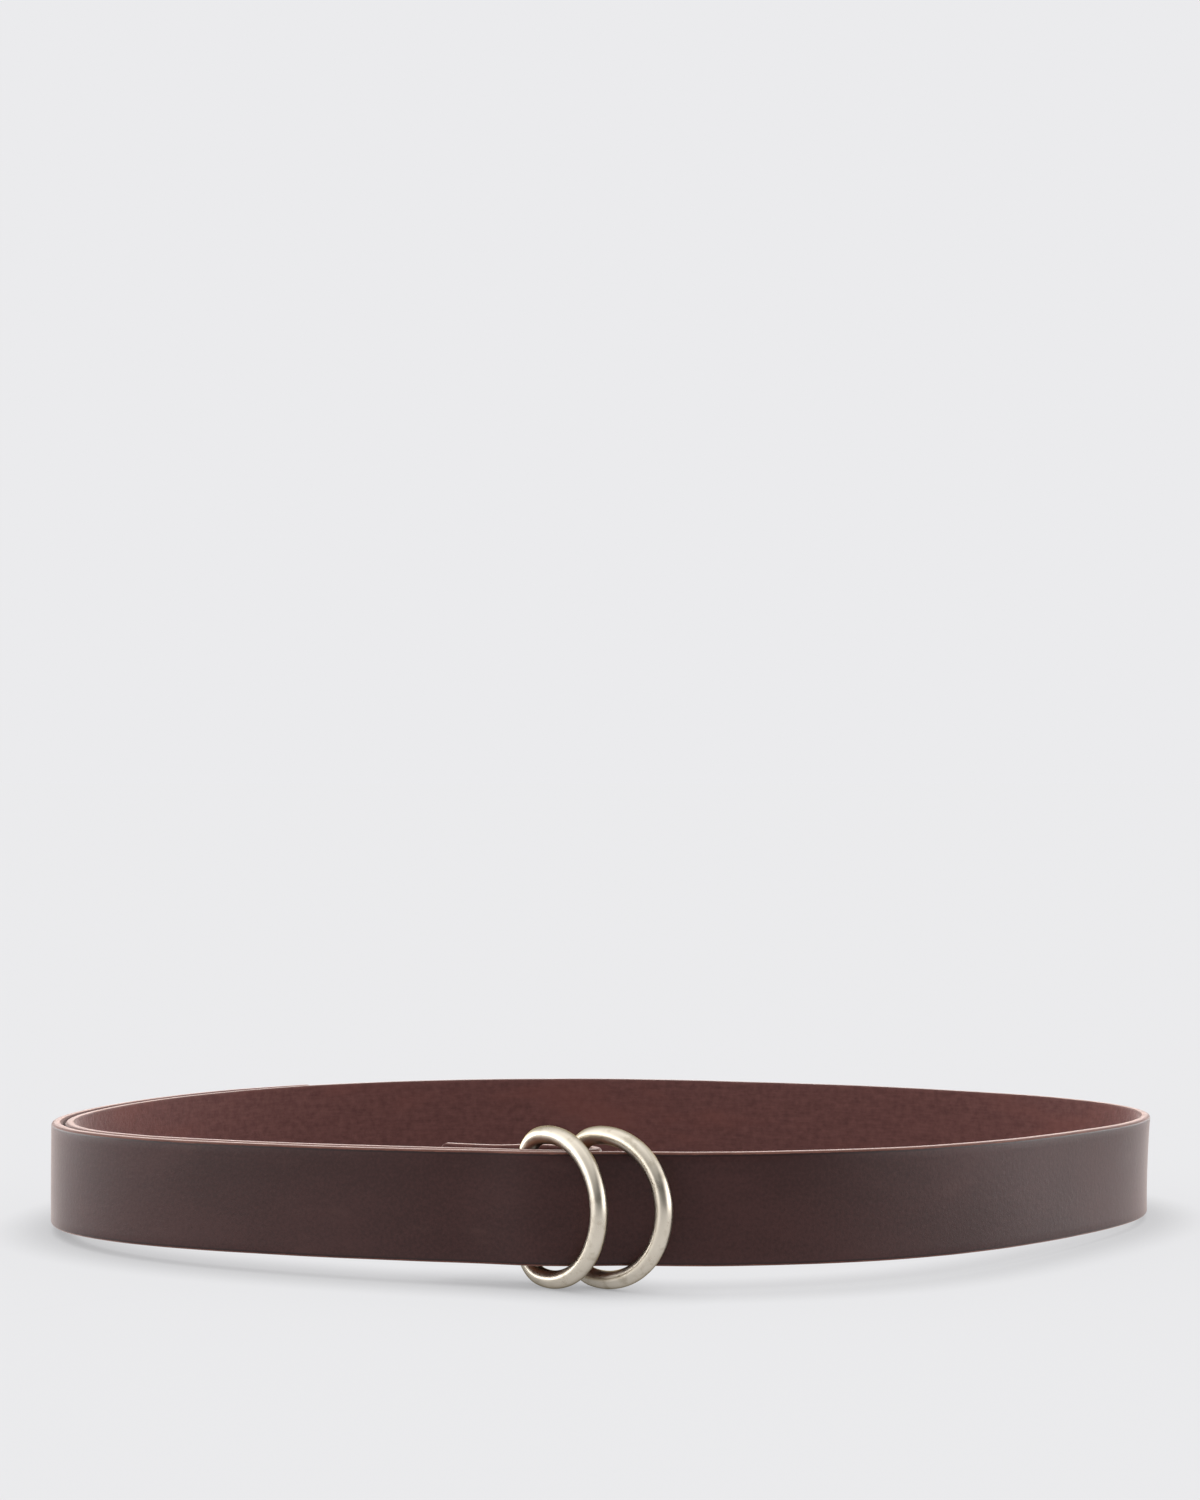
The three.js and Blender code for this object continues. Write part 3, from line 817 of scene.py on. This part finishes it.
def bridleLeather():
    # Bridle leather: veg-tanned butt, drum dyed brown and stuffed with wax on the grain side. The grain face
    # is smooth with a low waxy shine and faint pores, the flesh side matt and mottled, the cut edge raw.
    look, relief = leatherLook, leatherRelief
    material, tree, shader = newMaterial("waxed_bridle_leather")
    makers = (addMaths, addRamp, addBlend, addBlendValue)
    maths, ramp, blend, blendValue = [partial(maker, tree) for maker in makers]

    flat = addNode(tree, "ShaderNodeAttribute", attribute_name="leatherPlace", attribute_type="GEOMETRY")
    flatMm = addScaled(tree, flat.outputs["Vector"], 1 / mm)
    part = addNode(tree, "ShaderNodeSeparateXYZ", {0: flatMm}).outputs
    pattern = {}
    for label, (stretch, *settings) in leatherNoise.items():
        stretched = addNode(tree, "ShaderNodeMapping", {"Vector": flatMm, "Scale": stretch}).outputs[0]
        pattern[label] = addNoise(tree, stretched, *settings)

    def faded(value, label):
        return ramp(value, *leatherFade[label])

    def mixed(first, second, secondShare):
        return maths("ADD", maths("MULTIPLY", first, 1 - secondShare), maths("MULTIPLY", second, secondShare))

    def strayed(value, label, amount):
        centred = maths("SUBTRACT", pattern[label], 0.5)
        return maths("ADD", value, maths("MULTIPLY", centred, amount))

    # which part of the section: grain face, flesh face or cut edge
    intoEdge = maths("SUBTRACT", maths("ABSOLUTE", part["Y"]), halfWidth - strap["edgeRadius"])
    border = strayed(intoEdge, "border", look["borderStray"])
    edgeShare = maths("MULTIPLY", faded(border, "cutEdge"), faded(part["Z"], "cutEdgeOuter"))
    fleshShare = faded(part["Z"], "fleshSide")

    # grain face: clouds of wax, rubbed spots, darker towards the cut edge
    grainValue = mixed(pattern["clouds"], pattern["fine"], look["fineShare"])
    grainColour = blend(faded(grainValue, "grain"), *look["grain"])
    rubbed = maths("MULTIPLY", faded(pattern["wear"], "wear"), look["grainWearShare"])
    grainColour = blend(rubbed, grainColour, look["grainWear"])
    grainColour = blend(faded(intoEdge, "dyeLine"), grainColour, look["edgeDye"])

    # flesh face: spots and short fibres along the hide
    fleshValue = mixed(pattern["spots"], pattern["fibres"], look["fibreShare"])
    fleshColour = blend(faded(fleshValue, "flesh"), *look["flesh"])
    warm = maths("MULTIPLY", faded(pattern["patches"], "patches"), look["fleshWarmShare"])
    fleshColour = blend(warm, fleshColour, look["fleshWarm"])

    # cut edge: raw fibres in layers, with a darker bevel on the grain side that is partly burnished and
    # partly painted shade, and dyed round the back
    layerShare = faded(pattern["layers"], "layers")
    bevelReach = strayed(part["Z"], "bevelWidth", look["bevelStray"])
    # the grain-side bevel colour is darker partly from its burnish and partly as painted shade
    burnishedAndShaded, raw = [blend(layerShare, *look[label]) for label in ("bevel", "edge")]
    edgeColour = blend(faded(bevelReach, "bevel"), burnishedAndShaded, raw)
    position = addNode(tree, "ShaderNodeTexCoord").outputs["Object"]
    inLoop = addNode(tree, "ShaderNodeSeparateXYZ", {0: addScaled(tree, position, 1 / mm)}).outputs
    dyeStart, dyeFull, dyeFades, dyeEnd = look["edgeBackX"]
    middle = maths("MULTIPLY", ramp(inLoop["X"], dyeStart, dyeFull), ramp(inLoop["X"], dyeEnd, dyeFades))
    thin, full = look["edgeBackShare"]
    dyeDepth = maths("MULTIPLY_ADD", middle, full - thin, thin)
    dyed = maths("MULTIPLY", ramp(inLoop["Y"], *look["edgeBackY"]), dyeDepth)
    edgeColour = blend(dyed, edgeColour, look["edgeBack"])

    colour = blend(edgeShare, blend(fleshShare, grainColour, fleshColour), edgeColour)
    tree.links.new(colour, shader.inputs["Base Color"])

    waxed = addRange(tree, pattern["clouds"], noiseSpan, look["grainRoughness"])
    faceRough = blendValue(fleshShare, waxed, look["fleshRoughness"])
    tree.links.new(blendValue(edgeShare, faceRough, look["edgeRoughness"]), shader.inputs["Roughness"])
    setAll(shader, {
        "IOR": 1.5,
        "Specular IOR Level": look["specular"],
        "Sheen Weight": look["bloom"],
        "Sheen Roughness": look["bloomRoughness"],
        "Sheen Tint": linearColour(look["bloomTint"]),
    })

    # bump: pores on the grain, fibres on the flesh and the edge
    pores = faded(addVoronoi(tree, flatMm, look["pore"])["Distance"], "pore")
    grainHeight = maths("ADD", maths("MULTIPLY", pores, relief["pore"]),
                        maths("MULTIPLY", pattern["skin"], relief["skin"]))
    fleshHeight = maths("ADD", maths("MULTIPLY", fleshValue, relief["flesh"]),
                        maths("MULTIPLY", pattern["fine"], relief["fleshFine"]))
    edgeHeight = maths("MULTIPLY", pattern["layers"], relief["layers"])
    faceHeight = blendValue(fleshShare, grainHeight, fleshHeight)
    addBump(tree, shader, blendValue(edgeShare, faceHeight, edgeHeight), look["bump"])
    return material


metalLook = {
    "nickel": ("#cfc5b4", "#e2d9ca"),
    "cloud": (6.0, 4.0, 0.6),  # its lighter clouds: size, and the noise's detail and roughness
    "tarnish": "#9c8f78",  # olive film that the plating has taken on
    "tarnishShare": 0.4,
    "tarnishSpot": (2.6, 3.0, 0.55),
    "tarnishFade": (0.5, 0.74),
    "rim": "#7d7152",  # duller and olive where the surface turns away
    "roughness": 0.28,
    "rivetRoughness": 0.36,
    "roughnessSpread": (-0.03, 0.06),
    "pit": 3.4,  # size of the patches that may hold a casting pit
    "pitShare": 0.1,  # share of them that do
    "pitEdge": (0.03, 0.13),
    "pitDepth": 0.12,
    "grit": (0.35, 3.0),  # the tumbling marks' spacing and detail
    "gritDepth": 0.0015,
    "bump": 0.6,
}


def satinNickel(name, roughness):
    # Satin nickel: brass plated with nickel and tumbled to a soft shine, warm where the plating is thin.
    look = metalLook
    material, tree, shader = newMaterial(name)
    position = addNode(tree, "ShaderNodeTexCoord").outputs["Object"]
    inMm = addScaled(tree, position, 1 / mm)
    cloud = addNoise(tree, inMm, *look["cloud"])
    spots = addNoise(tree, inMm, *look["tarnishSpot"])
    film = addRamp(tree, spots, *look["tarnishFade"], 0.0, look["tarnishShare"])
    colour = addBlend(tree, film, addBlend(tree, cloud, *look["nickel"]), look["tarnish"])
    tree.links.new(colour, shader.inputs["Base Color"])
    spread = [roughness + change for change in look["roughnessSpread"]]
    tree.links.new(addRange(tree, cloud, noiseSpan, spread), shader.inputs["Roughness"])
    setAll(shader, {"Metallic": 1.0, "Specular Tint": linearColour(look["rim"])})

    # bump: a casting pit in some of the patches, and fine tumbling marks
    patches = addVoronoi(tree, inMm, look["pit"])
    pit = addRamp(tree, patches["Distance"], *look["pitEdge"], -look["pitDepth"], 0.0)
    chance = addNode(tree, "ShaderNodeSeparateColor", {"Color": patches["Color"]}).outputs[0]
    pitHeight = addMaths(tree, "MULTIPLY", pit, addMaths(tree, "LESS_THAN", chance, look["pitShare"]))
    grit = addNoise(tree, inMm, *look["grit"])
    addBump(tree, shader, addMaths(tree, "MULTIPLY_ADD", grit, look["gritDepth"], pitHeight), look["bump"])
    return material


# Pieces

def finishPiece(piece, node):
    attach(piece, "root")
    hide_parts(node)


finishPiece(makeStrap(bridleLeather()), "strap")
ringMetal = satinNickel("satin_nickel", metalLook["roughness"])
wireTree = ringTree()
for side in dRing["places"]:
    finishPiece(makeRing(side, wireTree, ringMetal), "ring_" + side)
rivetMetal = satinNickel("tumbled_nickel", metalLook["rivetRoughness"])
finishPiece(makeRivet(rivetMetal), "flap_rivet")
print("pieces made")


# Floor, world and lights

studio = {
    "background": "#ebebed",
    "floorGlow": 0.87,  # share of the floor's light that the lamps don't change
    "floorGrey": 0.73,
    "contactReach": 0.019,  # metres that the soft contact shadow reaches
    "contactDark": 0.4,
    "contactSamples": 8,
    "floorReach": 40.0,  # metres
    "backStrength": 0.7,  # the soft light by where it comes from
    "frontStrength": 0.12,
    "sideStrength": 2.8,
    "sideAloft": 0.3,  # share of it that is left high up
    "rearStrength": 3.2,
    "topStrength": 0.2,
    "keyAngle": 90.0,
    "keyStrength": 0.7,
    "keyTurn": (20.0, -22.0),  # tipped forward and to the left
}

# between which shares of its own axis each part of the soft light fades in, or out where it is low
lightFade = {
    "back": (-0.8, 0.1),
    "side": (0.55, 1.0),
    "sideLow": (0.15, 0.55),
    "rear": (0.05, 0.5),
    "rearLow": (0.1, 0.35),
    "top": (0.3, 0.9),
}


def makeFloor():
    reach = studio["floorReach"]
    corners = [(-reach, -reach, 0), (reach, -reach, 0), (reach, reach, 0), (-reach, reach, 0)]
    floor = newObject("floor", newMesh("floor", corners, [], [(0, 1, 2, 3)]))
    material, tree, shader = newMaterial("pale_studio_floor")
    setAll(shader, {
        "Base Color": (studio["floorGrey"],) * 3 + (1,),
        "Roughness": 1.0,
        "Specular IOR Level": 0.0,
    })
    reachInput = {"Distance": studio["contactReach"]}
    closeness = addNode(tree, "ShaderNodeAmbientOcclusion", reachInput, samples=studio["contactSamples"])
    contact = addRange(tree, closeness.outputs["AO"], (0.0, 1.0), (studio["contactDark"], 1.0))
    glow = addNode(tree, "ShaderNodeEmission", {
        "Color": linearColour(studio["background"]), "Strength": contact})
    blended = addNode(tree, "ShaderNodeMixShader", {
        0: studio["floorGlow"], 1: shader.outputs[0], 2: glow.outputs[0]})
    tree.links.new(blended.outputs[0], tree.nodes["Material Output"].inputs["Surface"])
    floor.data.materials.append(material)


def makeLight():
    world = bpy.data.worlds.new("studio")
    bpy.context.scene.world = world
    world.use_nodes = True
    tree = world.node_tree
    tree.nodes.clear()
    maths = partial(addMaths, tree)
    background = linearColour(studio["background"])
    plain = addNode(tree, "ShaderNodeBackground", {"Color": background, "Strength": 1.0})
    # dark behind the camera, bright low down on the left, the right and behind the belt
    direction = addNode(tree, "ShaderNodeTexCoord").outputs["Generated"]
    way = addNode(tree, "ShaderNodeSeparateXYZ", {0: direction}).outputs

    def panel(value, label, low, high):
        return addRamp(tree, value, *lightFade[label], low, high)

    side = panel(maths("ABSOLUTE", way["X"]), "side", 0.0, studio["sideStrength"])
    rear = panel(way["Y"], "rear", 0.0, studio["rearStrength"])
    strength = panel(way["Y"], "back", studio["frontStrength"], studio["backStrength"])
    for light in (
        maths("MULTIPLY", side, panel(way["Z"], "sideLow", 1.0, studio["sideAloft"])),
        panel(way["Z"], "top", 0.0, studio["topStrength"]),
        maths("MULTIPLY", rear, panel(way["Z"], "rearLow", 1.0, 0.0)),
    ):
        strength = maths("ADD", strength, light)
    soft = addNode(tree, "ShaderNodeBackground", {"Color": (1, 1, 1, 1), "Strength": strength})
    seen = addNode(tree, "ShaderNodeLightPath").outputs["Is Camera Ray"]
    blended = addNode(tree, "ShaderNodeMixShader", {0: seen, 1: soft.outputs[0], 2: plain.outputs[0]})
    addNode(tree, "ShaderNodeOutputWorld", {"Surface": blended.outputs[0]}).is_active_output = True
    lamp = bpy.data.lights.new("overhead", "SUN")
    lamp.angle = math.radians(studio["keyAngle"])
    lamp.energy = studio["keyStrength"]
    overhead = newObject("overhead", lamp)
    overhead.rotation_euler = tuple(math.radians(turn) for turn in (*studio["keyTurn"], 0))


makeFloor()
makeLight()
bpy.context.scene.view_settings.view_transform = "Standard"
print("stage set")
